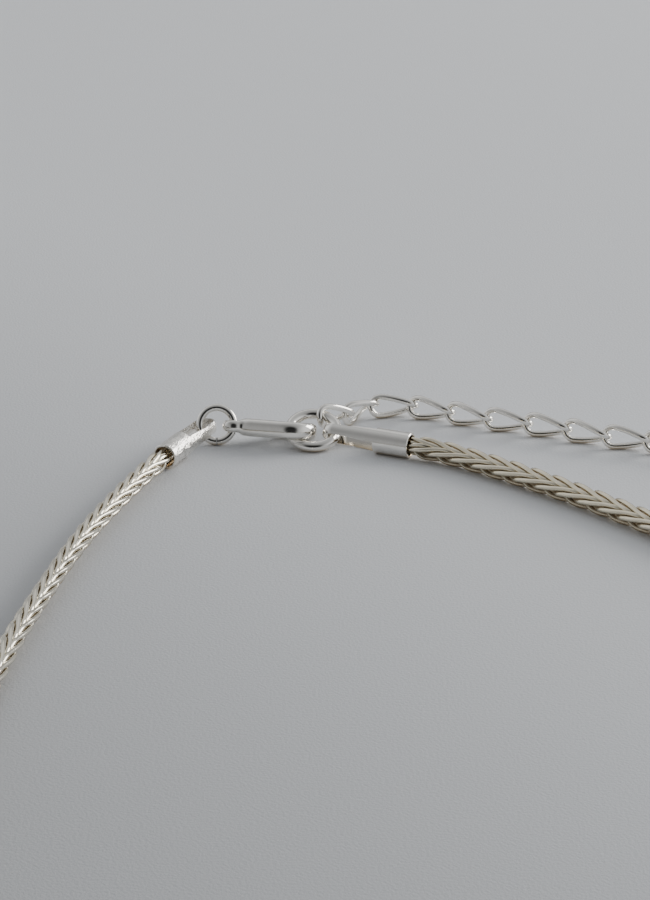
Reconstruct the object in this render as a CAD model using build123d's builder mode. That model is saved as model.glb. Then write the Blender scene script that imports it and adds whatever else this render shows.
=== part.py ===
"""A silver foxtail chain necklace that lies open on a flat surface, fastened by its clasp.

Millimetres, +Z up. The origin is the middle of the neck opening, on the surface that the
necklace lies on. +Y points from there to the clasp, and +X to the side of the extension.
"""
from build123d import *
from math import asin, ceil, cos, degrees, pi, radians, sin, sqrt, tan
import os

os.makedirs("parts", exist_ok=True)

# Main chain: a woven square chain, carried here by a bar of its outer form
CHAIN_WIDTH = 2.7
CHAIN_CORNER = 0.75
CHAIN_LEAD = 4.2
NECK_GAP = 0.15
NECK_DEPTH = 3.0

# The chain's route on the surface, from the left cap round the neck to the right cap:
# x and y of each bend, as shares of the loop's half width
LOOP_HALF_WIDTH = 50.0
CHAIN_ROUTE = [
    (-0.724, 1.232), (-0.784, 1.024), (-0.832, 0.772), (-0.882, 0.48), (-0.92, 0.12),
    (-0.92, -0.28), (-0.844, -0.68), (-0.652, -1.052), (-0.352, -1.328), (0.012, -1.452),
    (0.372, -1.38), (0.676, -1.144), (0.888, -0.788), (0.988, -0.38), (0.98, 0.04),
    (0.884, 0.432), (0.712, 0.768), (0.508, 1.036), (0.32, 1.252), (0.132, 1.428),
]
SHARE_OF_RUN = 0.45

# End caps: a round barrel, cut away on two sides to a strap that loops round a ring
CAP_DIAMETER = 3.0
CAP_WALL = 0.3
CAP_BORE = CAP_DIAMETER - 2 * CAP_WALL
CAP_LENGTH = 11.2
CAP_BARREL = 4.3
CAP_TAPER = 3.3
CAP_STRAP = 1.3
CAP_LIP = CAP_WALL / 4
CAP_SEAT_LEFT = 2.3
CAP_SEAT_RIGHT = 1.7
CAP_ROLL_LEFT = 8.0
CAP_ROLL_RIGHT = -46.0
CAP_HEADING_LEFT = 64.5
CAP_HEADING_RIGHT = 156.0
CAP_ON_RING = -12.0

# Thick link ring: the clasp's hook, the right cap and the extension all hang on it
LINK_RING_X = -14.4
LINK_RING_Y = 82.0
LINK_RING_RADIUS = 2.8
LINK_RING_WIRE = 1.25
LINK_RING_TILT = 22.5

# Lobster clasp, measured from the place where the ring's wire crosses its plane
CLASP_TILT = 21.4
CLASP_YAW = -2.0
CLASP_WIDTH = 5.7
CLASP_THICKNESS = 1.6
CLASP_RAIL = 0.95
CLASP_POCKET = 2.1
CLASP_ROUNDING = 0.4
THROAT_AT = 4.7
THROAT_WIDTH = 2.3
EYE_AT = 6.6
EYE_HOLE = 1.5
EYE_WIDTH = 2.3
EYE_THICKNESS = 1.15
NOSE_TIP = 1.3
GATE_LENGTH = 1.6
GATE_GAP = 0.08
GATE_DROP = 0.35

# Sprung lever and its pivot pin
PIVOT_AT = 3.85
PIVOT_OFFSET = 0.55
PIN_DIAMETER = 0.6
PIN_CLEARANCE = 0.04
LEVER_HUB = 1.5
LEVER_THICKNESS = 0.7
SLOT_CLEARANCE = 0.08
TAB_WIDTH = 0.5
TAB_HEIGHT = 0.42

# Jump ring between the clasp's eye and the left cap
JUMP_RING_RADIUS = 2.0
JUMP_RING_WIRE = 0.9
JUMP_RING_LEAN = 22.0
JUMP_RING_SPLIT = 0.05
EYE_DROP = 6.0
CAP_DROP = 18.0

# Extension chain of twisted curb links
LINK_LENGTH = 6.4
LINK_WIDTH = 3.1
LINK_WIRE = 0.65
LINK_PLAY = 0.18
LINK_LEAN = 68.0
TURNED_LINKS = 4
TURN_EASE = 0.2
LINK_SEGMENTS = 20
LINK_SIDES = 6
FIRST_LINK_LEAN = 62.0
HOOK_ON = 60.0
EXTENSION_HEADINGS = [50, 48, 2, -22, -26, -19, -22, -27, -18, -22, -25, -17]

# A lift that keeps metal off the surface by a hair
LIFT = 0.02


def heading(angle):
    """The level direction at this angle from +X."""
    return Vector(cos(radians(angle)), sin(radians(angle)), 0)


UP = Vector(0, 0, 1)
RIGHT = Vector(1, 0, 0)


def leaning(angle):
    """The direction across +X that rises from +Y by this angle."""
    return Vector(0, cos(radians(angle)), sin(radians(angle)))


# Places, each worked out from the piece that carries it
LINK_RING_RISE = leaning(LINK_RING_TILT)
LINK_RING_CENTRE = Vector(
    LINK_RING_X,
    LINK_RING_Y,
    LINK_RING_WIRE / 2 + LINK_RING_RADIUS * sin(radians(LINK_RING_TILT)) + LIFT,
)


def on_link_ring(angle):
    """A point of the link ring's wire, from its right side towards its raised far side."""
    return (
        LINK_RING_CENTRE
        + RIGHT * LINK_RING_RADIUS * cos(radians(angle))
        + LINK_RING_RISE * LINK_RING_RADIUS * sin(radians(angle))
    )


# The jump ring stands on the surface, and its height sets how the clasp leans along
JUMP_RING_RISE = leaning(90 - JUMP_RING_LEAN)
JUMP_RING_HEIGHT = JUMP_RING_WIRE / 2 + JUMP_RING_RADIUS * JUMP_RING_RISE.Z + LIFT
EYE_HEIGHT = JUMP_RING_HEIGHT - JUMP_RING_RADIUS * JUMP_RING_RISE.Z * sin(radians(EYE_DROP))
CLASP_PITCH = asin((EYE_HEIGHT - on_link_ring(180).Z) / EYE_AT)

# The clasp's frame: X to its hook, Y across it to its lever, Z out of its upper face
CLASP_ALONG = heading(CLASP_YAW) * cos(CLASP_PITCH) - UP * sin(CLASP_PITCH)
CLASP_ACROSS = leaning(-CLASP_TILT)
CLASP_NORMAL = CLASP_ALONG.cross(CLASP_ACROSS).normalized()
CLASP_PLANE = Plane(origin=on_link_ring(180), x_dir=CLASP_ALONG, z_dir=CLASP_NORMAL)
HOOK_RADIUS = CLASP_WIDTH / 2
HOOK_CENTRE = CLASP_POCKET + CLASP_RAIL - HOOK_RADIUS
EYE_CENTRE = CLASP_PLANE.from_local_coords(Vector(-EYE_AT, 0, 0))
JUMP_RING_CENTRE = (
    EYE_CENTRE
    - RIGHT * JUMP_RING_RADIUS * cos(radians(EYE_DROP))
    + JUMP_RING_RISE * JUMP_RING_RADIUS * sin(radians(EYE_DROP))
)


def on_jump_ring(angle):
    """A point of the jump ring's wire, from its right side towards its raised top."""
    return (
        JUMP_RING_CENTRE
        + RIGHT * JUMP_RING_RADIUS * cos(radians(angle))
        + JUMP_RING_RISE * JUMP_RING_RADIUS * sin(radians(angle))
    )


def cap_frame(seat, cap_heading, seat_depth, roll):
    """A cap's frame: origin at its open end, Z to its strap, X across the strap.

    The barrel lies on the surface and the strap closes round the wire at seat.
    """
    reach = CAP_LENGTH - seat_depth
    barrel_height = CAP_DIAMETER / 2 + LIFT
    pitch = asin((seat.Z - barrel_height) / reach)
    along = heading(cap_heading) * cos(pitch) + UP * sin(pitch)
    level = UP.cross(along).normalized()
    rise = along.cross(level)
    across = level * sin(radians(roll)) + rise * cos(radians(roll))
    return Plane(origin=seat - along * reach, x_dir=across, z_dir=along)


LEFT_CAP_PLANE = cap_frame(on_jump_ring(180 + CAP_DROP), CAP_HEADING_LEFT, CAP_SEAT_LEFT, CAP_ROLL_LEFT)
RIGHT_CAP_PLANE = cap_frame(on_link_ring(CAP_ON_RING), CAP_HEADING_RIGHT, CAP_SEAT_RIGHT, CAP_ROLL_RIGHT)


def ring(frame, radius, wire, split=0.0):
    """A ring of round wire about the frame's Z, with a butt joint split open at its -Y side."""
    opened = degrees(split / radius)
    with BuildPart() as turned:
        with BuildSketch(Plane.XZ):
            with Locations((radius, 0)):
                Circle(wire / 2)
        revolve(axis=Axis.Z, revolution_arc=360 - opened)
    start = -90 + opened / 2 if split else 0
    return frame.location * Rotation(0, 0, start) * turned.part


def end_cap():
    """One cap: a barrel with a domed end, bored, slotted and cut away to its strap."""
    dome_at = CAP_LENGTH - CAP_DIAMETER / 2
    with BuildPart() as cap:
        Cylinder(CAP_DIAMETER / 2, dome_at, align=(Align.CENTER, Align.CENTER, Align.MIN))
        with Locations((0, 0, dome_at)):
            Sphere(CAP_DIAMETER / 2)
        with BuildSketch(Plane.YZ):
            with Locations((0, dome_at)):
                Circle(CAP_BORE / 2)
            with Locations((0, dome_at / 2 + CAP_BARREL / 2)):
                Rectangle(CAP_BORE, dome_at - CAP_BARREL)
        extrude(amount=CAP_DIAMETER, both=True, mode=Mode.SUBTRACT)
        Cylinder(
            CAP_BORE / 2,
            CAP_BARREL + CAP_BORE / 2,
            align=(Align.CENTER, Align.CENTER, Align.MIN),
            mode=Mode.SUBTRACT,
        )
        with BuildSketch(Plane.XZ) as waist:
            with BuildLine():
                Polyline(
                    (CAP_STRAP / 2, CAP_BARREL + CAP_TAPER),
                    (CAP_STRAP / 2, CAP_LENGTH + CAP_DIAMETER),
                    (CAP_DIAMETER, CAP_LENGTH + CAP_DIAMETER),
                    (CAP_DIAMETER, CAP_BARREL - CAP_LIP),
                    (CAP_DIAMETER / 2, CAP_BARREL),
                )
                Spline(
                    (CAP_DIAMETER / 2, CAP_BARREL),
                    (CAP_STRAP / 2, CAP_BARREL + CAP_TAPER),
                    tangents=[(-1, 0.5), (-0.25, 1)],
                )
            make_face()
            mirror(about=Plane.YZ)
        extrude(waist.sketch, amount=CAP_DIAMETER, both=True, mode=Mode.SUBTRACT)
        rim = cap.edges().filter_by(GeomType.CIRCLE).group_by(Axis.Z)[0]
        chamfer(rim, CAP_LIP)
    return cap.part


def clasp_outline():
    """The clasp seen from above: a drop whose broad end is the hook."""
    with BuildSketch() as outline:
        with Locations((HOOK_CENTRE, 0)):
            Circle(HOOK_RADIUS)
        with Locations((-THROAT_AT, 0)):
            Circle(THROAT_WIDTH / 2)
        make_hull()
    return outline.sketch


def clasp_opening():
    """The space inside the hook, a smaller drop."""
    with BuildSketch() as opening:
        with Locations((HOOK_CENTRE, 0)):
            Circle(HOOK_RADIUS - CLASP_RAIL)
        with Locations((-OPENING_START, -CLASP_RAIL / 4)):
            Circle(CLASP_RAIL / 2)
        make_hull()
    return opening.sketch


GATE_START = NOSE_TIP + GATE_LENGTH
GATE_REACH = sqrt((PIVOT_AT - NOSE_TIP) ** 2 + (HOOK_RADIUS * 0.82 - PIVOT_OFFSET) ** 2) - GATE_GAP
OPENING_START = GATE_START - CLASP_RAIL / 2 - 2 * GATE_GAP

# Thick link ring
with BuildPart() as link_ring:
    add(ring(Plane(LINK_RING_CENTRE, x_dir=RIGHT, z_dir=RIGHT.cross(LINK_RING_RISE)), LINK_RING_RADIUS, LINK_RING_WIRE))

# Jump ring, its butt joint at the bottom
with BuildPart() as jump_ring:
    add(
        ring(
            Plane(JUMP_RING_CENTRE, x_dir=RIGHT, z_dir=RIGHT.cross(JUMP_RING_RISE)),
            JUMP_RING_RADIUS,
            JUMP_RING_WIRE,
            JUMP_RING_SPLIT,
        )
    )

# End caps
cap_shape = end_cap()
with BuildPart() as cap_left:
    with Locations(LEFT_CAP_PLANE.location):
        add(cap_shape)
with BuildPart() as cap_right:
    with Locations(RIGHT_CAP_PLANE.location):
        add(cap_shape)

# Clasp body with its eye, hook and lever slot
drop_outline = clasp_outline()
drop_opening = clasp_opening()
with BuildPart() as body:
    extrude(drop_outline, amount=CLASP_THICKNESS / 2, both=True)
    extrude(drop_opening, amount=CLASP_THICKNESS, both=True, mode=Mode.SUBTRACT)
    faces = body.faces().filter_by(Axis.Z)
    fillet(faces.edges(), CLASP_ROUNDING)
    # The eye, thinner than the body
    with Locations((-EYE_AT, 0, 0)):
        Cylinder(EYE_WIDTH / 2, EYE_THICKNESS)
        Cylinder(EYE_HOLE / 2, CLASP_THICKNESS * 2, mode=Mode.SUBTRACT)
    # The mouth that the lever closes, its nose rounded about the pivot so that the gate swings in
    with BuildSketch() as mouth:
        with Locations((-PIVOT_AT, PIVOT_OFFSET)):
            Circle(GATE_REACH + GATE_GAP)
        with Locations((-GATE_START, 0)):
            Rectangle(CLASP_WIDTH, CLASP_WIDTH, align=(Align.MIN, Align.MIN), mode=Mode.INTERSECT)
    extrude(mouth.sketch, amount=CLASP_THICKNESS, both=True, mode=Mode.SUBTRACT)
    # The slot that the lever's hub turns in, open to the mouth
    slot_end = PIVOT_AT + LEVER_HUB / 2 + GATE_GAP
    with Locations((-slot_end, PIVOT_OFFSET - LEVER_HUB / 2 - GATE_GAP, 0)):
        Box(
            slot_end - NOSE_TIP - GATE_LENGTH / 2,
            CLASP_WIDTH,
            LEVER_THICKNESS + 2 * SLOT_CLEARANCE,
            align=(Align.MIN, Align.MIN, Align.CENTER),
            mode=Mode.SUBTRACT,
        )
    with Locations((-PIVOT_AT, PIVOT_OFFSET, 0)):
        Cylinder(PIN_DIAMETER / 2 + PIN_CLEARANCE / 2, CLASP_THICKNESS * 2, mode=Mode.SUBTRACT)

with BuildPart() as clasp_body:
    with Locations(CLASP_PLANE.location):
        add(body.part)

# Pivot pin, flush with the cheeks
with BuildPart() as pin:
    with Locations((-PIVOT_AT, PIVOT_OFFSET, 0)):
        Cylinder(PIN_DIAMETER / 2, CLASP_THICKNESS)
with BuildPart() as clasp_pin:
    with Locations(CLASP_PLANE.location):
        add(pin.part)

# Lever: the gate that closes the mouth, a hub on the pin and a small thumb tab
gate_root = -GATE_START + GATE_GAP
with BuildPart() as lever_shape:
    with BuildSketch() as gate_side:
        add(drop_outline)
        add(drop_opening, mode=Mode.SUBTRACT)
        with Locations((gate_root, PIVOT_OFFSET + GATE_DROP)):
            Rectangle(CLASP_WIDTH, CLASP_WIDTH, align=(Align.MIN, Align.MIN), mode=Mode.INTERSECT)
        with Locations((-PIVOT_AT, PIVOT_OFFSET)):
            Circle(GATE_REACH, mode=Mode.INTERSECT)
    extrude(gate_side.sketch, amount=CLASP_THICKNESS / 2 - CLASP_ROUNDING / 4, both=True)
    with BuildSketch() as hub_side:
        with BuildSketch() as hub_hull:
            with Locations((-PIVOT_AT, PIVOT_OFFSET)):
                Circle(LEVER_HUB / 2)
            with Locations((gate_root + CLASP_RAIL / 2, HOOK_RADIUS - CLASP_RAIL)):
                Circle(CLASP_RAIL / 2)
            make_hull()
        with Locations((-NOSE_TIP - TAB_WIDTH, HOOK_RADIUS - TAB_HEIGHT)):
            Rectangle(TAB_WIDTH, 2 * TAB_HEIGHT, align=(Align.MAX, Align.CENTER))
    extrude(hub_side.sketch, amount=LEVER_THICKNESS / 2, both=True)
    with Locations((-PIVOT_AT, PIVOT_OFFSET, 0)):
        Cylinder(PIN_DIAMETER / 2 + PIN_CLEARANCE, CLASP_THICKNESS, mode=Mode.SUBTRACT)
with BuildPart() as clasp_lever:
    with Locations(CLASP_PLANE.location):
        add(lever_shape.part)


def twisted_link(start, end, lean):
    """A curb link from joint to joint, faceted: its two ends stand square to each other."""
    along = (end - start).normalized()
    middle = (start + end) / 2
    side = leaning(lean)
    side = (side - along * side.dot(along)).normalized()
    square = along.cross(side)
    half_run = (LINK_LENGTH - LINK_WIDTH) / 2
    bend = (LINK_WIDTH - LINK_WIRE) / 2
    lap = 2 * half_run * 2 + 2 * pi * bend

    def centre_line(share):
        travelled = (share % 1.0) * lap
        straight = 2 * half_run
        arc = pi * bend
        if travelled < straight:
            flat = (half_run - travelled, bend)
        elif travelled < straight + arc:
            turn = (travelled - straight) / bend
            flat = (-half_run - bend * sin(turn), bend * cos(turn))
        elif travelled < 2 * straight + arc:
            flat = (-half_run + travelled - straight - arc, -bend)
        else:
            turn = (travelled - 2 * straight - arc) / bend
            flat = (half_run + bend * sin(turn), -bend * cos(turn))
        reach = half_run + bend
        twist = radians(90) * (flat[0] + reach) / (2 * reach)
        return middle + along * flat[0] + (side * cos(twist) + square * sin(twist)) * flat[1]

    rings = []
    for step in range(LINK_SEGMENTS):
        share = (step + 0.5) / LINK_SEGMENTS
        here = centre_line(share)
        ahead = (centre_line(share + 0.01) - centre_line(share - 0.01)).normalized()
        outward = (here - middle) - ahead * (here - middle).dot(ahead)
        outward = outward.normalized()
        beside = ahead.cross(outward)
        rings.append([
            here + (outward * cos(radians(angle)) + beside * sin(radians(angle))) * LINK_WIRE / 2
            for angle in [360 * k / LINK_SIDES for k in range(LINK_SIDES)]
        ])
    facets = []
    for step in range(LINK_SEGMENTS):
        near, far = rings[step], rings[(step + 1) % LINK_SEGMENTS]
        for k in range(LINK_SIDES):
            n = (k + 1) % LINK_SIDES
            facets.append(Face(Wire.make_polygon([near[k], near[n], far[n]])))
            facets.append(Face(Wire.make_polygon([near[k], far[n], far[k]])))
    return Solid(Shell(facets))


# Extension chain: the first link hangs on the link ring, the others lie in line
lap = (LINK_WIRE + LINK_PLAY) / 2
link_pitch = LINK_LENGTH - LINK_WIRE - 2 * lap
link_height = LINK_WIDTH / 2 + LIFT
hook_reach = (LINK_RING_WIRE + LINK_WIRE) / 2 + LINK_PLAY - lap
pull_radius = (LINK_WIDTH - LINK_WIRE) / 2 - lap
joint = on_link_ring(HOOK_ON)
extension_links = []
for number, link_heading in enumerate(EXTENSION_HEADINGS, start=1):
    run = link_pitch - (hook_reach if number == 1 else 0)
    drop = link_height - joint.Z
    along = heading(link_heading) * sqrt(1 - (drop / run) ** 2) + UP * (drop / run)
    if number == 1:
        link_start = joint - along * hook_reach
    else:
        along = heading(link_heading)
        ease = TURN_EASE if number <= TURNED_LINKS else 0
        link_start = joint - along_before * pull_radius + along * (pull_radius - ease)
        link_start = Vector(link_start.X, link_start.Y, link_height)
    with BuildPart() as link:
        add(twisted_link(link_start, link_start + along * link_pitch, FIRST_LINK_LEAN if number == 1 else LINK_LEAN))
    link.part.label = f"extension_link_{number:02d}"
    extension_links.append(link.part)
    joint = link_start + along * link_pitch
    joint = Vector(joint.X, joint.Y, link_height)
    along_before = along
print("extension joints end", joint)

# Main chain: a bar along its route, and a neck in each cap
chain_height = CHAIN_WIDTH / 2 + LIFT
left_axis = LEFT_CAP_PLANE.z_dir
right_axis = RIGHT_CAP_PLANE.z_dir


def lead_point(cap_plane, distance):
    """A point on the chain's line, straight out of a cap's open end."""
    away = (cap_plane.z_dir * -1 - UP * (cap_plane.z_dir * -1).Z).normalized()
    spot = cap_plane.origin + away * distance
    return Vector(spot.X, spot.Y, chain_height)


route = [lead_point(LEFT_CAP_PLANE, CAP_LIP), lead_point(LEFT_CAP_PLANE, CHAIN_LEAD)]
route += [Vector(x * LOOP_HALF_WIDTH, y * LOOP_HALF_WIDTH, chain_height) for x, y in CHAIN_ROUTE]
route += [lead_point(RIGHT_CAP_PLANE, CHAIN_LEAD), lead_point(RIGHT_CAP_PLANE, CAP_LIP)]


def corner_radii(points):
    """The largest arc at each corner that its two runs allow."""
    radii = []
    for before, here, after in zip(points, points[1:], points[2:]):
        turn = (here - before).get_angle(after - here)
        shorter = min((here - before).length, (after - here).length)
        radii.append(SHARE_OF_RUN * shorter / tan(radians(turn / 2)))
    return radii


chain_radii = corner_radii(route)
print("chain arc radii", [round(r, 1) for r in chain_radii])

with BuildPart() as main_chain:
    with BuildLine() as chain_line:
        FilletPolyline(*route, radius=chain_radii)
    start_tangent = chain_line.line % 0
    with BuildSketch(Plane(origin=chain_line.line @ 0, x_dir=UP.cross(start_tangent), z_dir=start_tangent)):
        RectangleRounded(CHAIN_WIDTH, CHAIN_WIDTH, CHAIN_CORNER)
    sweep()
    for cap_plane in (LEFT_CAP_PLANE, RIGHT_CAP_PLANE):
        with Locations(cap_plane.location):
            with Locations((0, 0, -CAP_LIP * 4)):
                Cylinder(
                    CAP_BORE / 2 - NECK_GAP,
                    NECK_DEPTH + CAP_LIP * 4,
                    align=(Align.CENTER, Align.CENTER, Align.MIN),
                )

chain_length = sum(edge.length for edge in chain_line.edges())
section = CHAIN_WIDTH**2 - (4 - pi) * CHAIN_CORNER**2
print("chain length", round(chain_length, 1), "volume share", round(main_chain.part.volume / section / chain_length, 4))
print("whole length", round(chain_length + (RIGHT_CAP_PLANE.origin - LEFT_CAP_PLANE.origin).length, 1))

pieces = {
    "main_chain": main_chain,
    "cap_left": cap_left,
    "cap_right": cap_right,
    "jump_ring": jump_ring,
    "clasp_body": clasp_body,
    "clasp_pin": clasp_pin,
    "clasp_lever": clasp_lever,
    "link_ring": link_ring,
}
for name, piece in pieces.items():
    piece.part.label = name
    export_step(piece.part, f"parts/{name}.step")
for part in extension_links:
    export_step(part, f"parts/{part.label}.step")

pivot = CLASP_PLANE.from_local_coords(Vector(-PIVOT_AT, PIVOT_OFFSET, 0))
print("lever pivot", pivot, "axis", CLASP_PLANE.z_dir * -1)
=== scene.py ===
"""Dresses the silver necklace: woven chain, smooth links, silver finishes, table, light and camera."""
import math

import bmesh
import bpy
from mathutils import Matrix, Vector


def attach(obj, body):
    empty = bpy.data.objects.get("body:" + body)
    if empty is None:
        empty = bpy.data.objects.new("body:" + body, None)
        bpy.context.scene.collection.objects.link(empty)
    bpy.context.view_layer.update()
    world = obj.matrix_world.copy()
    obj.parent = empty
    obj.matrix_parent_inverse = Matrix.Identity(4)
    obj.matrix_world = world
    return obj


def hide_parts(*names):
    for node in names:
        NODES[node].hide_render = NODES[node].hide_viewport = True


bl_info = {
    "name": "Woven Silver Necklace",
    "version": (1, 0, 0),
    "blender": (4, 5, 0),
    "location": "3D View > Sidebar > Necklace",
    "description": "Builds a woven silver chain with its clasp, caps and extension, lying on a table",
    "category": "Add Mesh",
}

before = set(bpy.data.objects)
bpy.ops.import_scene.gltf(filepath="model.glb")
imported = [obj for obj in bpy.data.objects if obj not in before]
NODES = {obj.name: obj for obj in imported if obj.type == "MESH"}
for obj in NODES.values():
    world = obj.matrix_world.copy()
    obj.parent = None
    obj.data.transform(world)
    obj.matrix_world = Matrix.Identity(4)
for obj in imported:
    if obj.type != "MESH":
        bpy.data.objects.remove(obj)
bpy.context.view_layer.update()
# Sizes and places are in millimetres where nothing else is said, and this makes them metres
MM = 0.001
# Points of a mesh that are nearer than this, in metres, become one point
WELD = 0.01 * MM

# Mouth of each cap: the middle of its open end, and the way into the barrel
LEFT_MOUTH = (Vector((-31.5044, 74.0464, 1.52)), Vector((0.43037, 0.90228, 0.02599)))
RIGHT_MOUTH = (Vector((-2.9825, 77.5982, 1.52)), Vector((-0.91354, 0.40674, -0.00276)))

# The chain's route between the caps: x and y of each bend
ROUTE = [
    (-36.2, 61.6), (-39.2, 51.2), (-41.6, 38.6), (-44.1, 24.0), (-46.0, 6.0), (-46.0, -14.0),
    (-42.2, -34.0), (-32.6, -52.6), (-17.6, -66.4), (0.6, -72.6), (18.6, -69.0), (33.8, -57.2),
    (44.4, -39.4), (49.4, -19.0), (49.0, 2.0), (44.2, 21.6), (35.6, 38.4), (25.4, 51.8),
    (16.0, 62.6), (6.6, 71.4),
]
# The route's three points at each cap: this far inside its mouth, this far outside it, and this far
# outside it at the height of the chain
CAP_REACH = 1.6
MOUTH_LEAD = 0.6
ROUTE_LEAD = 4.2
# Height of the chain's middle at the front, and how much higher it is by each cap
FRONT_HEIGHT = 1.18
LEFT_LIFT = 0.24
RIGHT_LIFT = 0.22
# Turn of the chain about its own line by each cap, and its size by the left cap against the rest
LEFT_TURN = math.radians(58)
RIGHT_TURN = math.radians(48)
LEFT_SIZE = 0.93
# The chain lies flat up to this y, and is lifted and turned in full this span further on
TURN_FROM = -30.0
TURN_SPAN = 60.0

# One stroke of wire, knot by knot: place along the chain in pitches, share of the way from the middle
# of a side to the middle of the top, and depth below the chain's skin
STROKE = [
    (2.05, 0.10, 0.72), (1.70, 0.06, 0.60), (1.42, 0.03, 0.36), (1.20, 0.04, 0.09), (0.97, 0.08, 0.0),
    (0.72, 0.15, 0.0), (0.45, 0.27, 0.0), (0.20, 0.39, -0.02), (-0.02, 0.47, -0.05), (-0.24, 0.53, -0.07),
    (-0.44, 0.61, -0.05), (-0.59, 0.74, 0.0), (-0.70, 0.88, 0.10), (-0.84, 0.99, 0.34), (-1.12, 1.0, 0.58),
    (-1.50, 0.92, 0.66), (-1.95, 0.86, 0.70),
]
# The strokes on the other three corners: their sign in y and in z, and pitches that each is moved on
OTHER_STROKES = ((-1, 1, 0.5), (-1, -1, 1.0), (1, -1, 0.5))
# Radius of the way over a corner, sides of the wire, and points from one knot to the next
CORNER_BEND = 0.35
WIRE_SIDES = 6
KNOT_STEPS = 2
# Pitches that the weave starts before the route, and loops that it has to spare
EARLY_PITCHES = 2.5
SPARE_LOOPS = 5
# The weave is drawn in to this size up to this far from its ends, and has its full one this span on
NECK_SIZE = 0.76
NECK_FROM = 1.0
NECK_SPAN = 2.4

# How much bolder the extension's smooth links are
LINK_GROWTH = 0.12
# How the clasp is worn round: grain of its mesh, and the smoothing steps and growth of each round
CLASP_GRAIN = 0.085
CLASP_ROUNDS = ((50, 0.09), (50, 0.09), (50, 0.09), (12, 0.01))

# Colour of the haze on the polished silver, and on the brushed cap
HAZE = (0.80, 0.77, 0.71)
BRUSHED_HAZE = (0.78, 0.755, 0.70)
# Warm grey painted where silver faces the table, as painted shade and painted reflection of the table, and
# the height at which it ends on a finding and on the chain
UNDERSIDE_SHADE_AND_REFLECTION = (0.72, 0.60, 0.44)
FINDING_FOOT = 0.7
CHAIN_FOOT = 0.8
# Dark brown inside the caps' barrels: its colour, its radius and length, the stretch over which it fades
# past the one and before the other, and how much of it is gone at its length
BORE_COLOUR = (0.30, 0.22, 0.12)
BORE_RADIUS = 1.21
BORE_LENGTH = 4.3
BORE_EDGE = 0.1
BORE_FADE = 1.5
BORE_GONE_AT_END = 0.8
# The jump ring's join: its colour, its x, the square of the distance from it at which it starts and
# ends to fade, the height up to which it shows and the stretch over which it fades there
JOIN_COLOUR = (0.05, 0.035, 0.02)
JOIN_X = -25.77
JOIN_SQUARES = (0.004, 0.014)
JOIN_HEIGHT = 1.3
JOIN_EDGE = 0.1
# Share of the silver's colour that the wire keeps on the left leg, and on the right leg, painted darker and
# warmer as painted shade
LEFT_WIRE = (0.93, 0.90, 0.81)
RIGHT_WIRE_SHADED = (0.91, 0.86, 0.72)
# From the first x to the second, the wire passes from the left leg's look to the right leg's painted shade
RIGHT_SHADE_FROM_X = -20.0
RIGHT_SHADE_TO_X = 10.0
# Distances from the chain's middle up to which its wire takes painted shade between the wires and from
# which it has none, on the left leg, and how much more each is on the right leg
SHADED_TO = 0.48
UNSHADED_FROM = 0.94
RIGHT_SHADED_EXTRA = 0.18
RIGHT_UNSHADED_EXTRA = 0.14

# The table: its width in metres, and its tone at the near left, darkened by painted shade, against the far
# right. The painted shade changes where a place's y, added to this much of its x, is between these two
TABLE_WIDTH = 6.0
NEAR_SHADED_TONE = 0.63
SLANT = 1.2
NEAR_END = -90.0
FAR_END = 120.0
# The room's colour, and its darker sides: the way to each, the cosines at which it starts and is
# darkest, and how dark it is there. The camera's side takes its way from the view
ROOM_COLOUR = (0.96, 0.98, 1.0, 1.0)
DARK_SIDES = (
    ((-0.35, -0.90, 0.10), -0.1, 0.9, 0.62),
    ((0.0, -0.30, 1.0), 0.45, 0.95, 0.50),
    ((0.0, 0.90, 0.40), 0.60, 0.97, 0.52),
)
CAMERA_SIDE = (0.80, 0.97, 0.92)
# The lamps: name, place and size in metres, and colour
LAMPS = (
    ("window", (0.85, 0.50, 0.38), (0.65, 0.5), (1.0, 0.985, 0.96)),
    ("ceiling", (0.05, 0.95, 0.85), (1.3, 0.6), (1.0, 1.0, 1.0)),
)
# The place that the camera and the lamps face, the camera's distance from it, and the nearest and
# farthest that it sees, in metres, and its lens and the height of its sensor in millimetres
AIM = Vector((-0.013, 0.080, 0.0))
CAMERA_DISTANCE = 0.29412
CAMERA_REACH = (0.01, 20.0)
LENS = 100.0
SENSOR_HEIGHT = 36.0


class Field:
    """A number that varies from place to place. Sums, differences and products add Math nodes."""

    def __init__(self, nodes, socket):
        self.nodes = nodes
        self.socket = socket

    def _math(self, operation, *terms):
        node = self.nodes.node("ShaderNodeMath", dict(enumerate(terms)), operation=operation)
        return Field(self.nodes, node.outputs[0])

    def __add__(self, other):
        return self._math("ADD", self, other)

    __radd__ = __add__

    def __sub__(self, other):
        return self._math("SUBTRACT", self, other)

    def __rsub__(self, other):
        return self._math("SUBTRACT", other, self)

    def __mul__(self, other):
        return self._math("MULTIPLY", self, other)

    __rmul__ = __mul__

    def above(self, low, high):
        """0 below low, 1 above high, and smooth between them."""
        inputs = dict(enumerate((self, low, high, 0.0, 1.0)))
        node = self.nodes.node("ShaderNodeMapRange", inputs, interpolation_type="SMOOTHSTEP")
        return Field(self.nodes, node.outputs[0])


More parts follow.
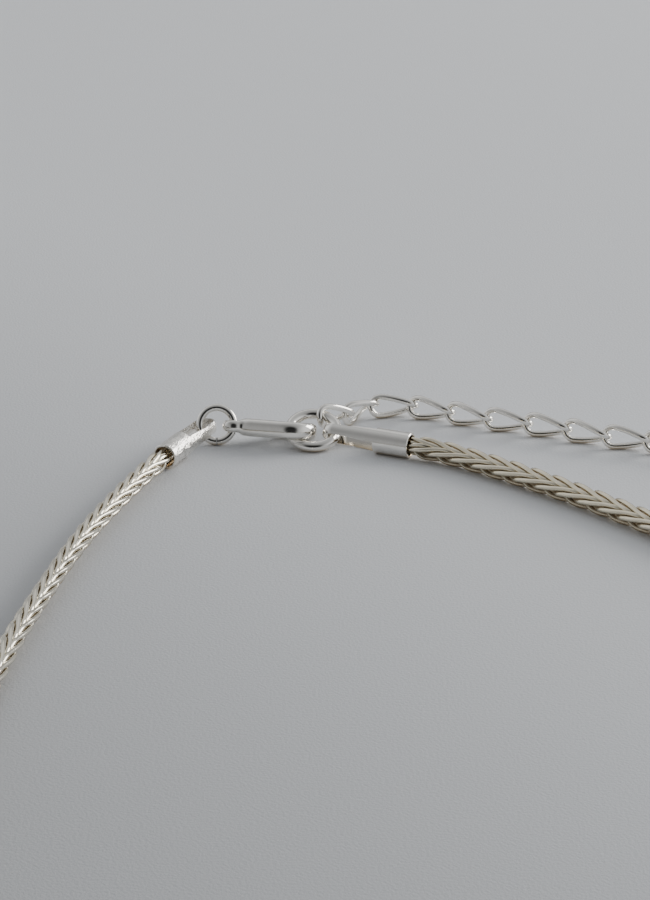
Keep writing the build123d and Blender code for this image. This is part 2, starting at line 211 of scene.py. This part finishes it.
class Nodes:
    """A node tree, and the ways that nodes are put in it."""

    def __init__(self, tree):
        self.tree = tree
        self.tree.nodes.clear()

    def node(self, kind, inputs=None, **settings):
        """A node of this kind, with its settings and the values or links of its sockets."""
        node = self.tree.nodes.new(kind)
        for name, value in settings.items():
            setattr(node, name, value)
        for name, value in (inputs or {}).items():
            self.feed(node.inputs[name], value)
        return node

    def feed(self, place, value):
        """Links a socket to a field or to another socket, or gives it a value."""
        if isinstance(value, Field):
            self.tree.links.new(value.socket, place)
        elif isinstance(value, bpy.types.NodeSocket):
            self.tree.links.new(value, place)
        else:
            place.default_value = value

    def vectors(self, operation, *terms):
        """The outputs of a Vector Math node on these terms."""
        return self.node("ShaderNodeVectorMath", dict(enumerate(terms)), operation=operation).outputs

    def blend(self, share, first, second):
        """The first colour where share is 0, the second where it is 1, and mixed between."""
        first, second = ((*c, 1.0) if isinstance(c, tuple) else c for c in (first, second))
        return self.node("ShaderNodeMix", {0: share, 6: first, 7: second}, data_type="RGBA").outputs[2]


class Finish(Nodes):
    """A material with one Principled shader."""

    def __init__(self, name):
        self.material = bpy.data.materials.new(name)
        self.material.use_nodes = True
        super().__init__(self.material.node_tree)
        output = self.node("ShaderNodeOutputMaterial")
        self.shader = self.node("ShaderNodeBsdfPrincipled")
        self.feed(output.inputs["Surface"], self.shader.outputs[0])

    def place(self):
        """Object coordinates, in metres."""
        return self.node("ShaderNodeTexCoord").outputs["Object"]

    def stretched(self, stretch, turn):
        """Object coordinates, stretched and turned."""
        inputs = {"Vector": self.place(), "Rotation": turn, "Scale": stretch}
        return self.node("ShaderNodeMapping", inputs).outputs[0]

    def noise(self, scale, detail, where=None):
        inputs = {"Vector": where or self.place(), "Scale": scale, "Detail": detail}
        return Field(self, self.node("ShaderNodeTexNoise", inputs).outputs["Fac"])

    def along(self, axis):
        """Place along the X, Y or Z axis, in millimetres."""
        parts = self.node("ShaderNodeSeparateXYZ", {"Vector": self.place()}).outputs
        return Field(self, parts[axis]) * (1 / MM)

    def about_line(self, origin, way):
        """Distance from a line and distance along it, in millimetres."""
        arm = self.vectors("SUBTRACT", self.place(), origin * MM)[0]
        off = self.vectors("LENGTH", self.vectors("CROSS_PRODUCT", arm, way)[0])["Value"]
        along = self.vectors("DOT_PRODUCT", arm, way)["Value"]
        return Field(self, off) * (1 / MM), Field(self, along) * (1 / MM)

    def bump(self, height, strength, distance):
        """A normal from this height, raised by up to this distance in metres."""
        inputs = {"Height": height, "Strength": strength, "Distance": distance}
        return self.node("ShaderNodeBump", inputs).outputs[0]

    def set(self, **values):
        """Feeds the shader's sockets and gives the finished material."""
        for name, value in values.items():
            self.feed(self.shader.inputs[name.replace("_", " ")], value)
        return self.material


class ChainSizes(bpy.types.PropertyGroup):
    """Sizes of the woven chain."""

    width: bpy.props.FloatProperty(
        name="Width",
        description="Width of the square chain, in millimetres",
        default=2.3,
        min=1.0,
    )
    wire: bpy.props.FloatProperty(
        name="Wire",
        description="Thickness of the woven wire, in millimetres",
        default=0.58,
        min=0.1,
    )
    pitch: bpy.props.FloatProperty(
        name="Pitch",
        description="Distance from one loop to the next, in millimetres",
        default=3.05,
        min=0.5,
    )


class SilverColours(bpy.types.PropertyGroup):
    """Colours of the silver."""

    silver: bpy.props.FloatVectorProperty(
        name="Silver",
        description="Colour of the clean metal",
        subtype="COLOR",
        default=(0.93, 0.905, 0.855),
    )
    # Colour of the painted shade between the wires
    crevice_shade: bpy.props.FloatVectorProperty(
        name="Crevice_shade",
        description="Colour between the wires",
        subtype="COLOR",
        default=(0.50, 0.39, 0.24),
    )


class StageSizes(bpy.types.PropertyGroup):
    """The table, the light and the height of the view."""

    table: bpy.props.FloatVectorProperty(
        name="Table",
        description="Colour of the table",
        subtype="COLOR",
        default=(0.876, 0.893, 0.919),
    )
    window: bpy.props.FloatProperty(
        name="Window",
        description="Power of the light from the right, in watts",
        default=6.5,
        min=0.0,
    )
    ceiling: bpy.props.FloatProperty(
        name="Ceiling",
        description="Power of the light from above, in watts",
        default=0.8,
        min=0.0,
    )
    room: bpy.props.FloatProperty(
        name="Room",
        description="Strength of the light from all round",
        default=0.90,
        min=0.0,
    )
    elevation: bpy.props.FloatProperty(
        name="Elevation",
        description="Height of the view above the table",
        subtype="ANGLE",
        default=math.radians(22.0),
    )


def clear_choice():
    """Leaves nothing selected and no object in edit mode."""
    if bpy.context.object and bpy.context.object.mode != "OBJECT":
        bpy.ops.object.mode_set(mode="OBJECT")
    bpy.ops.object.select_all(action="DESELECT")


def choose(piece):
    """Leaves this piece alone selected and active."""
    clear_choice()
    piece.select_set(True)
    bpy.context.view_layer.objects.active = piece


def apply_all(piece):
    """Applies the piece's modifiers in their order."""
    choose(piece)
    for modifier in list(piece.modifiers):
        bpy.ops.object.modifier_apply(modifier=modifier.name)


def paint(piece, material):
    """Gives the piece this material alone."""
    piece.data.materials.clear()
    piece.data.materials.append(material)


def share_past(value, start, span):
    """0 up to start, 1 from a span further on, and rising evenly between."""
    return min(max((value - start) / span, 0.0), 1.0)


def between(knots, steps):
    """Points on a smooth curve through the knots, steps to each stretch."""
    ends = [knots[0] * 2 - knots[1]] + knots + [knots[-1] * 2 - knots[-2]]
    points = []
    for a, b, c, d in zip(ends, ends[1:], ends[2:], ends[3:]):
        for step in range(steps):
            t = step / steps
            curve = (2 * a - 5 * b + 4 * c - d) * t**2 + (3 * b - a - 3 * c + d) * t**3
            points.append(0.5 * ((2 * b) + (c - a) * t + curve))
    return points + [knots[-1]]


def wire_from(points, thickness, sides, name):
    """A length of round wire along these points, as a mesh."""
    clear_choice()
    bpy.ops.mesh.primitive_circle_add(vertices=sides, radius=thickness / 2)
    section = bpy.context.object
    bpy.ops.object.convert(target="CURVE")
    line = bpy.data.curves.new(name, "CURVE")
    line.dimensions = "3D"
    spline = line.splines.new("POLY")
    spline.points.add(len(points) - 1)
    for point, place in zip(spline.points, points):
        point.co = (*place, 1.0)
    line.bevel_mode = "OBJECT"
    line.bevel_object = section
    line.use_fill_caps = True
    piece = bpy.data.objects.new(name, line)
    bpy.context.collection.objects.link(piece)
    choose(piece)
    bpy.ops.object.convert(target="MESH")
    bpy.data.objects.remove(section)
    return piece


class NECKLACE_OT_woven_chain(bpy.types.Operator):
    """Weaves the chain of loops of round wire and lays it along its route"""

    bl_idname = "necklace.woven_chain"
    bl_label = "Woven Chain"

    def execute(self, context):
        sizes = context.scene.necklace_chain
        route = self.route()
        length = sum(spline.calc_length() for spline in route.data.splines)
        half_loops = round(length / MM / sizes.pitch / 2)
        pitch = length / MM / (2 * half_loops)
        chain = self.stroke(sizes.width / 2, sizes.wire, pitch)
        self.weave(chain, pitch)
        repeat = chain.modifiers.new("Repeat", "ARRAY")
        repeat.use_relative_offset = False
        repeat.use_constant_offset = True
        repeat.constant_offset_displace = (pitch * MM, 0, 0)
        repeat.count = half_loops + SPARE_LOOPS
        apply_all(chain)
        self.trim(chain, length)
        lay = chain.modifiers.new("Lay", "CURVE")
        lay.object = route
        lay.deform_axis = "POS_X"
        apply_all(chain)
        bpy.data.objects.remove(route)
        choose(chain)
        bpy.ops.object.shade_smooth()
        paint(chain, woven_silver(context))
        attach(chain, "necklace")
        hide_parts("main_chain")
        return {"FINISHED"}

    def route(self):
        """The line that the chain lies on, from inside the left cap to inside the right one."""
        turned = [share_past(y, TURN_FROM, TURN_SPAN) for x, y in ROUTE]
        lefts = [share if x < 0 else 0.0 for share, (x, y) in zip(turned, ROUTE)]
        rights = [share if x > 0 else 0.0 for share, (x, y) in zip(turned, ROUTE)]
        places = [
            Vector((x, y, FRONT_HEIGHT + LEFT_LIFT * left + RIGHT_LIFT * right))
            for (x, y), left, right in zip(ROUTE, lefts, rights)
        ]
        ends = []
        for (mouth, way), lift in ((LEFT_MOUTH, LEFT_LIFT), (RIGHT_MOUTH, RIGHT_LIFT)):
            level = Vector((way.x, way.y, 0)).normalized()
            lead = mouth - level * ROUTE_LEAD
            lead.z = FRONT_HEIGHT + lift
            ends.append([mouth + way * CAP_REACH, mouth - level * MOUTH_LEAD, lead])
        places = ends[0] + places + ends[1][::-1]
        lefts = [1.0] * len(ends[0]) + lefts + [0.0] * len(ends[1])
        rights = [0.0] * len(ends[0]) + rights + [1.0] * len(ends[1])
        line = bpy.data.curves.new("chain_route", "CURVE")
        line.dimensions = "3D"
        line.twist_mode = "Z_UP"
        line.resolution_u = 32
        spline = line.splines.new("NURBS")
        spline.points.add(len(places) - 1)
        for point, place, left, right in zip(spline.points, places, lefts, rights):
            point.co = (*(place * MM), 1.0)
            point.tilt = left * LEFT_TURN + right * RIGHT_TURN
            point.radius = 1.0 - left * (1.0 - LEFT_SIZE)
        spline.order_u = 3
        spline.use_endpoint_u = True
        route = bpy.data.objects.new("chain_route", line)
        bpy.context.collection.objects.link(route)
        return route

    def stroke(self, half, wire, pitch):
        """One stroke of wire: out of the middle of a side, over a corner and in at the top's middle."""
        skin = half - wire / 2
        flat = skin - CORNER_BEND
        arc = CORNER_BEND * math.pi / 2

        def around(along, share, sunk):
            """A point at this share of the way from the side's middle to the top's, sunk below the skin."""
            way = share * (2 * flat + arc)
            turn = min(max((way - flat) / CORNER_BEND, 0.0), math.pi / 2)
            y = flat + (CORNER_BEND - sunk) * math.cos(turn) - max(way - flat - arc, 0.0)
            z = flat + (CORNER_BEND - sunk) * math.sin(turn) - max(flat - way, 0.0)
            return Vector((along * pitch, y, z))

        knots = [around(*knot) * MM for knot in STROKE]
        return wire_from(between(knots, KNOT_STEPS), wire * MM, WIRE_SIDES, "woven_chain")

    def weave(self, chain, pitch):
        """Adds the strokes on the other three corners, each half a pitch from its neighbours."""
        kit = bmesh.new()
        kit.from_mesh(chain.data)
        bmesh.ops.remove_doubles(kit, verts=kit.verts, dist=WELD)
        first = kit.verts[:] + kit.edges[:] + kit.faces[:]
        for y, z, shift in OTHER_STROKES:
            copy = bmesh.ops.duplicate(kit, geom=first)
            moved = [g for g in copy["geom"] if isinstance(g, bmesh.types.BMVert)]
            bmesh.ops.scale(kit, verts=moved, vec=(1, y, z))
            bmesh.ops.translate(kit, verts=moved, vec=(shift * pitch * MM, 0, 0))
        bmesh.ops.translate(kit, verts=kit.verts, vec=(-EARLY_PITCHES * pitch * MM, 0, 0))
        bmesh.ops.recalc_face_normals(kit, faces=kit.faces)
        # Each point keeps its distance from the chain's middle, which woven_silver reads
        depth = kit.verts.layers.float.new("depth")
        for vert in kit.verts:
            vert[depth] = max(abs(vert.co.y), abs(vert.co.z)) / MM
        kit.to_mesh(chain.data)
        kit.free()

    def trim(self, chain, length):
        """Cuts the weave to half its length, mirrors it there, and draws it in at both ends."""
        kit = bmesh.new()
        kit.from_mesh(chain.data)
        for place, way in ((0.0, -1), (length / 2, 1)):
            bmesh.ops.bisect_plane(
                kit,
                geom=kit.verts[:] + kit.edges[:] + kit.faces[:],
                plane_co=(place, 0, 0),
                plane_no=(way, 0, 0),
                clear_outer=True,
            )
        cut = [e for e in kit.edges if e.is_boundary and e.verts[0].co.x < MM]
        bmesh.ops.holes_fill(kit, edges=cut, sides=2 * WIRE_SIDES)
        other = bmesh.ops.duplicate(kit, geom=kit.verts[:] + kit.edges[:] + kit.faces[:])["geom"]
        moved = [g for g in other if isinstance(g, bmesh.types.BMVert)]
        bmesh.ops.scale(kit, verts=moved, vec=(-1, 1, 1))
        bmesh.ops.translate(kit, verts=moved, vec=(length, 0, 0))
        bmesh.ops.reverse_faces(kit, faces=[g for g in other if isinstance(g, bmesh.types.BMFace)])
        middle = [v for v in kit.verts if abs(v.co.x - length / 2) < WELD]
        bmesh.ops.remove_doubles(kit, verts=middle, dist=WELD / 2)
        for vert in kit.verts:
            from_end = min(vert.co.x, length - vert.co.x) / MM
            share = share_past(from_end, NECK_FROM, NECK_SPAN)
            size = NECK_SIZE + (1.0 - NECK_SIZE) * share * share * (3 - 2 * share)
            vert.co.y *= size
            vert.co.z *= size
        kit.to_mesh(chain.data)
        kit.free()


def twin(name, new_name):
    """A copy of a CAD piece that can be reshaped, chosen and with its own mesh."""
    copy = NODES[name].copy()
    copy.data = NODES[name].data.copy()
    copy.name = new_name
    copy.parent = None
    for key in list(copy.keys()):
        del copy[key]
    bpy.context.collection.objects.link(copy)
    choose(copy)
    return copy


class NECKLACE_OT_extension(bpy.types.Operator):
    """Rounds the extension chain's twisted links"""

    bl_idname = "necklace.extension"
    bl_label = "Extension Links"

    def execute(self, context):
        silver = polished_silver(context, "link_silver", roughness=0.06)
        for name in sorted(n for n in NODES if n.startswith("extension_link")):
            link = twin(name, name.replace("extension_link", "curb_link"))
            bpy.ops.object.mode_set(mode="EDIT")
            bpy.ops.mesh.select_all(action="SELECT")
            bpy.ops.mesh.remove_doubles(threshold=WELD)
            bpy.ops.mesh.tris_convert_to_quads(face_threshold=math.pi, shape_threshold=math.pi)
            bpy.ops.transform.shrink_fatten(value=LINK_GROWTH * MM)
            bpy.ops.object.mode_set(mode="OBJECT")
            smooth = link.modifiers.new("Round", "SUBSURF")
            smooth.levels = smooth.render_levels = 2
            apply_all(link)
            bpy.ops.object.shade_smooth()
            paint(link, silver)
            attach(link, "necklace")
            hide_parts(name)
        return {"FINISHED"}


class NECKLACE_OT_findings(bpy.types.Operator):
    """Gives the caps, rings and clasp their silver finishes and wears the clasp round"""

    bl_idname = "necklace.findings"
    bl_label = "Caps, Rings and Clasp"

    def execute(self, context):
        clasp = polished_silver(context, "clasp_silver", roughness=0.07)
        finishes = {
            "cap_left": brushed_silver(context, LEFT_MOUTH),
            "cap_right": polished_silver(context, "cap_silver", roughness=0.10, mouth=RIGHT_MOUTH),
            "jump_ring": polished_silver(context, "joined_ring_silver", roughness=0.04, join=JOIN_X),
            "link_ring": polished_silver(context, "ring_silver", roughness=0.04),
            "clasp_body": clasp,
            "clasp_lever": clasp,
            "clasp_pin": clasp,
        }
        for name, finish in finishes.items():
            paint(NODES[name], finish)
        self.rounded_clasp(clasp)
        return {"FINISHED"}

    def rounded_clasp(self, silver):
        """The clasp's body with its edges worn round, as polishing leaves them."""
        body = twin("clasp_body", "polished_clasp")
        for steps, growth in CLASP_ROUNDS:
            fine = body.modifiers.new("Fine", "REMESH")
            fine.mode = "VOXEL"
            fine.voxel_size = CLASP_GRAIN * MM
            worn = body.modifiers.new("Worn", "SMOOTH")
            worn.factor = 0.5
            worn.iterations = steps
            plump = body.modifiers.new("Plump", "DISPLACE")
            plump.mid_level = 0.0
            plump.strength = growth * MM
        apply_all(body)
        bpy.ops.object.shade_smooth()
        paint(body, silver)
        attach(body, "necklace")
        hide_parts("clasp_body")


def underside_shade_and_reflection(finish, colour, height):
    """The colour, turning warm grey below this height as painted shade and painted reflection of the table.
    """
    return finish.blend(finish.along("Z").above(0.0, height), UNDERSIDE_SHADE_AND_REFLECTION, colour)


def dark_bore(finish, colour, mouth):
    """The colour, turning dark brown inside a cap's barrel."""
    off, along = finish.about_line(*mouth)
    past_wall = off.above(BORE_RADIUS, BORE_RADIUS + BORE_EDGE)
    past_end = along.above(BORE_LENGTH - BORE_FADE, BORE_LENGTH)
    return finish.blend(past_wall + past_end * BORE_GONE_AT_END, BORE_COLOUR, colour)


def dark_join(finish, colour, x):
    """The colour, with a dark line across the lower side of a ring."""
    beside = finish.along("X") - x
    over = finish.along("Z").above(JOIN_HEIGHT, JOIN_HEIGHT + JOIN_EDGE)
    return finish.blend((beside * beside).above(*JOIN_SQUARES) + over, JOIN_COLOUR, colour)


def polished_silver(context, name, roughness, mouth=None, join=None):
    """Polished silver with faint hairlines and a little haze."""
    colours = context.scene.necklace_silver
    finish = Finish(name)
    haze = finish.noise(scale=900.0, detail=3.0)
    streaks = finish.stretched((1.0, 7.0, 7.0), turn=(0.3, 0.2, 0.5))
    hair = finish.noise(scale=700.0, detail=2.0, where=streaks)
    colour = finish.blend(haze.above(0.35, 0.8) * 0.25, tuple(colours.silver), HAZE)
    # Painted shade and painted reflection of the table on the lower side
    colour = underside_shade_and_reflection(finish, colour, FINDING_FOOT)
    if mouth is not None:
        colour = dark_bore(finish, colour, mouth)
    if join is not None:
        colour = dark_join(finish, colour, join)
    return finish.set(
        Base_Color=colour,
        Metallic=1.0,
        Roughness=roughness + haze * 0.06,
        Normal=finish.bump(hair, strength=0.08, distance=0.02 * MM),
    )


def brushed_silver(context, mouth):
    """Silver with short fine brush marks along the cap."""
    colours = context.scene.necklace_silver
    finish = Finish("brushed_cap_silver")
    streaks = finish.stretched((1.0, 0.35, 1.0), turn=(0.0, 0.0, -0.5))
    grain = finish.noise(scale=2600.0, detail=4.0, where=streaks)
    haze = finish.noise(scale=600.0, detail=3.0)
    colour = finish.blend(haze.above(0.4, 0.8) * 0.3, tuple(colours.silver), BRUSHED_HAZE)
    # Painted shade and painted reflection of the table on the lower side
    colour = underside_shade_and_reflection(finish, colour, FINDING_FOOT)
    return finish.set(
        Base_Color=dark_bore(finish, colour, mouth),
        Metallic=1.0,
        Roughness=0.16 + grain * 0.14,
        Normal=finish.bump(grain, strength=1.0, distance=0.16 * MM),
    )


def woven_silver(context):
    """Silver wire, bright on its outside, with painted shade between the wires that is browner and less
    metallic, and painted darker and warmer on the right leg.
    """
    colours = context.scene.necklace_silver
    finish = Finish("woven_silver")
    depth = Field(finish, finish.node("ShaderNodeAttribute", attribute_name="depth").outputs["Fac"])
    haze = finish.noise(scale=800.0, detail=3.0)
    # The right leg is painted darker and warmer, as painted shade
    right = finish.along("X").above(RIGHT_SHADE_FROM_X, RIGHT_SHADE_TO_X)
    # Painted shade between the wires, deeper the farther in a point lies, also less metallic and rougher
    # there
    unshaded = depth.above(SHADED_TO + right * RIGHT_SHADED_EXTRA, UNSHADED_FROM + right * RIGHT_UNSHADED_EXTRA)
    tints = [tuple(c * kept for c, kept in zip(colours.silver, wire)) for wire in (LEFT_WIRE, RIGHT_WIRE_SHADED)]
    colour = finish.blend(unshaded, tuple(colours.crevice_shade), finish.blend(right, *tints))
    # Painted shade and painted reflection of the table low down on the chain
    return finish.set(
        Base_Color=underside_shade_and_reflection(finish, colour, CHAIN_FOOT),
        Metallic=0.15 + unshaded * 0.85,
        Roughness=0.42 - unshaded * 0.36 + haze * 0.08,
        Normal=finish.bump(haze, strength=0.1, distance=0.03 * MM),
    )


def to_camera(sizes):
    """The way from the aim to the camera."""
    return Vector((0, -math.cos(sizes.elevation), math.sin(sizes.elevation)))


class NECKLACE_OT_stage(bpy.types.Operator):
    """Lays the table and sets the light and the camera"""

    bl_idname = "necklace.stage"
    bl_label = "Table, Light and Camera"

    def execute(self, context):
        sizes = context.scene.necklace_stage
        self.table(sizes)
        self.room(context, sizes)
        self.lamps(context, sizes)
        self.camera(context, sizes)
        return {"FINISHED"}

    def table(self, sizes):
        """A wide sheet of paper, with painted shade deepening its tone at the near left."""
        clear_choice()
        bpy.ops.mesh.primitive_plane_add(size=TABLE_WIDTH, location=(0, 0, 0))
        table = bpy.context.object
        table.name = "table"
        finish = Finish("table_paper")
        mottle = finish.noise(scale=60.0, detail=4.0)
        fibre = finish.noise(scale=3200.0, detail=3.0)
        # Painted shade, darker towards the near left
        far = (finish.along("X") * SLANT + finish.along("Y")).above(NEAR_END, FAR_END)
        deep = tuple(c * NEAR_SHADED_TONE for c in sizes.table)
        colour = finish.blend(far * (0.97 + mottle * 0.06), deep, tuple(sizes.table))
        rough = finish.bump(fibre, strength=0.3, distance=0.2 * MM)
        paint(table, finish.set(Base_Color=colour, Roughness=0.85, Normal=rough))

    def room(self, context, sizes):
        """A soft light from all round, with darker sides."""
        world = context.scene.world or bpy.data.worlds.new("room")
        context.scene.world = world
        world.use_nodes = True
        room = Nodes(world.node_tree)
        look = room.node("ShaderNodeTexCoord").outputs["Generated"]
        level = sizes.room
        for way, start, full, dark in (*DARK_SIDES, (to_camera(sizes), *CAMERA_SIDE)):
            facing = Field(room, room.vectors("DOT_PRODUCT", look, Vector(way).normalized())["Value"])
            level = level * (1.0 - facing.above(start, full) * dark)
        walls = room.node("ShaderNodeBackground", {"Color": ROOM_COLOUR, "Strength": level})
        room.node("ShaderNodeOutputWorld", {"Surface": walls.outputs[0]})

    def lamps(self, context, sizes):
        """A window on the right and a lamp above, both facing the clasp end."""
        for name, place, size, colour in LAMPS:
            data = bpy.data.lights.new(name, "AREA")
            data.shape = "RECTANGLE"
            data.size, data.size_y = size
            data.energy = getattr(sizes, name)
            data.color = colour
            lamp = bpy.data.objects.new(name, data)
            lamp.location = place
            lamp.rotation_euler = (AIM - Vector(place)).to_track_quat("-Z", "Y").to_euler()
            context.collection.objects.link(lamp)

    def camera(self, context, sizes):
        """The view of the clasp end, from the front and above."""
        data = bpy.data.cameras.new("camera")
        data.sensor_fit = "VERTICAL"
        data.sensor_height = SENSOR_HEIGHT
        data.lens = LENS
        data.clip_start, data.clip_end = CAMERA_REACH
        camera = bpy.data.objects.new("camera", data)
        camera.location = AIM + to_camera(sizes) * CAMERA_DISTANCE
        camera.rotation_euler = (math.pi / 2 - sizes.elevation, 0, 0)
        context.collection.objects.link(camera)
        context.scene.camera = camera


GROUPS = {
    "necklace_chain": ChainSizes,
    "necklace_silver": SilverColours,
    "necklace_stage": StageSizes,
}
OPERATORS = (
    NECKLACE_OT_stage,
    NECKLACE_OT_woven_chain,
    NECKLACE_OT_extension,
    NECKLACE_OT_findings,
)


class NECKLACE_PT_panel(bpy.types.Panel):
    """Lists the necklace's sizes, colours and pieces"""

    bl_idname = "NECKLACE_PT_panel"
    bl_label = "Woven Silver Necklace"
    bl_space_type = "VIEW_3D"
    bl_region_type = "UI"
    bl_category = "Necklace"

    def draw(self, context):
        column = self.layout.column()
        for group_name, group in GROUPS.items():
            for name in group.__annotations__:
                column.prop(getattr(context.scene, group_name), name)
        for operator in OPERATORS:
            column.operator(operator.bl_idname)


def register():
    for name, group in GROUPS.items():
        bpy.utils.register_class(group)
        setattr(bpy.types.Scene, name, bpy.props.PointerProperty(type=group))
    for operator in OPERATORS:
        bpy.utils.register_class(operator)
    bpy.utils.register_class(NECKLACE_PT_panel)


def unregister():
    bpy.utils.unregister_class(NECKLACE_PT_panel)
    for operator in reversed(OPERATORS):
        bpy.utils.unregister_class(operator)
    for name, group in GROUPS.items():
        delattr(bpy.types.Scene, name)
        bpy.utils.unregister_class(group)


def main():
    register()
    bpy.ops.necklace.stage()
    bpy.ops.necklace.woven_chain()
    bpy.ops.necklace.extension()
    bpy.ops.necklace.findings()


if __name__ == "__main__":
    main()
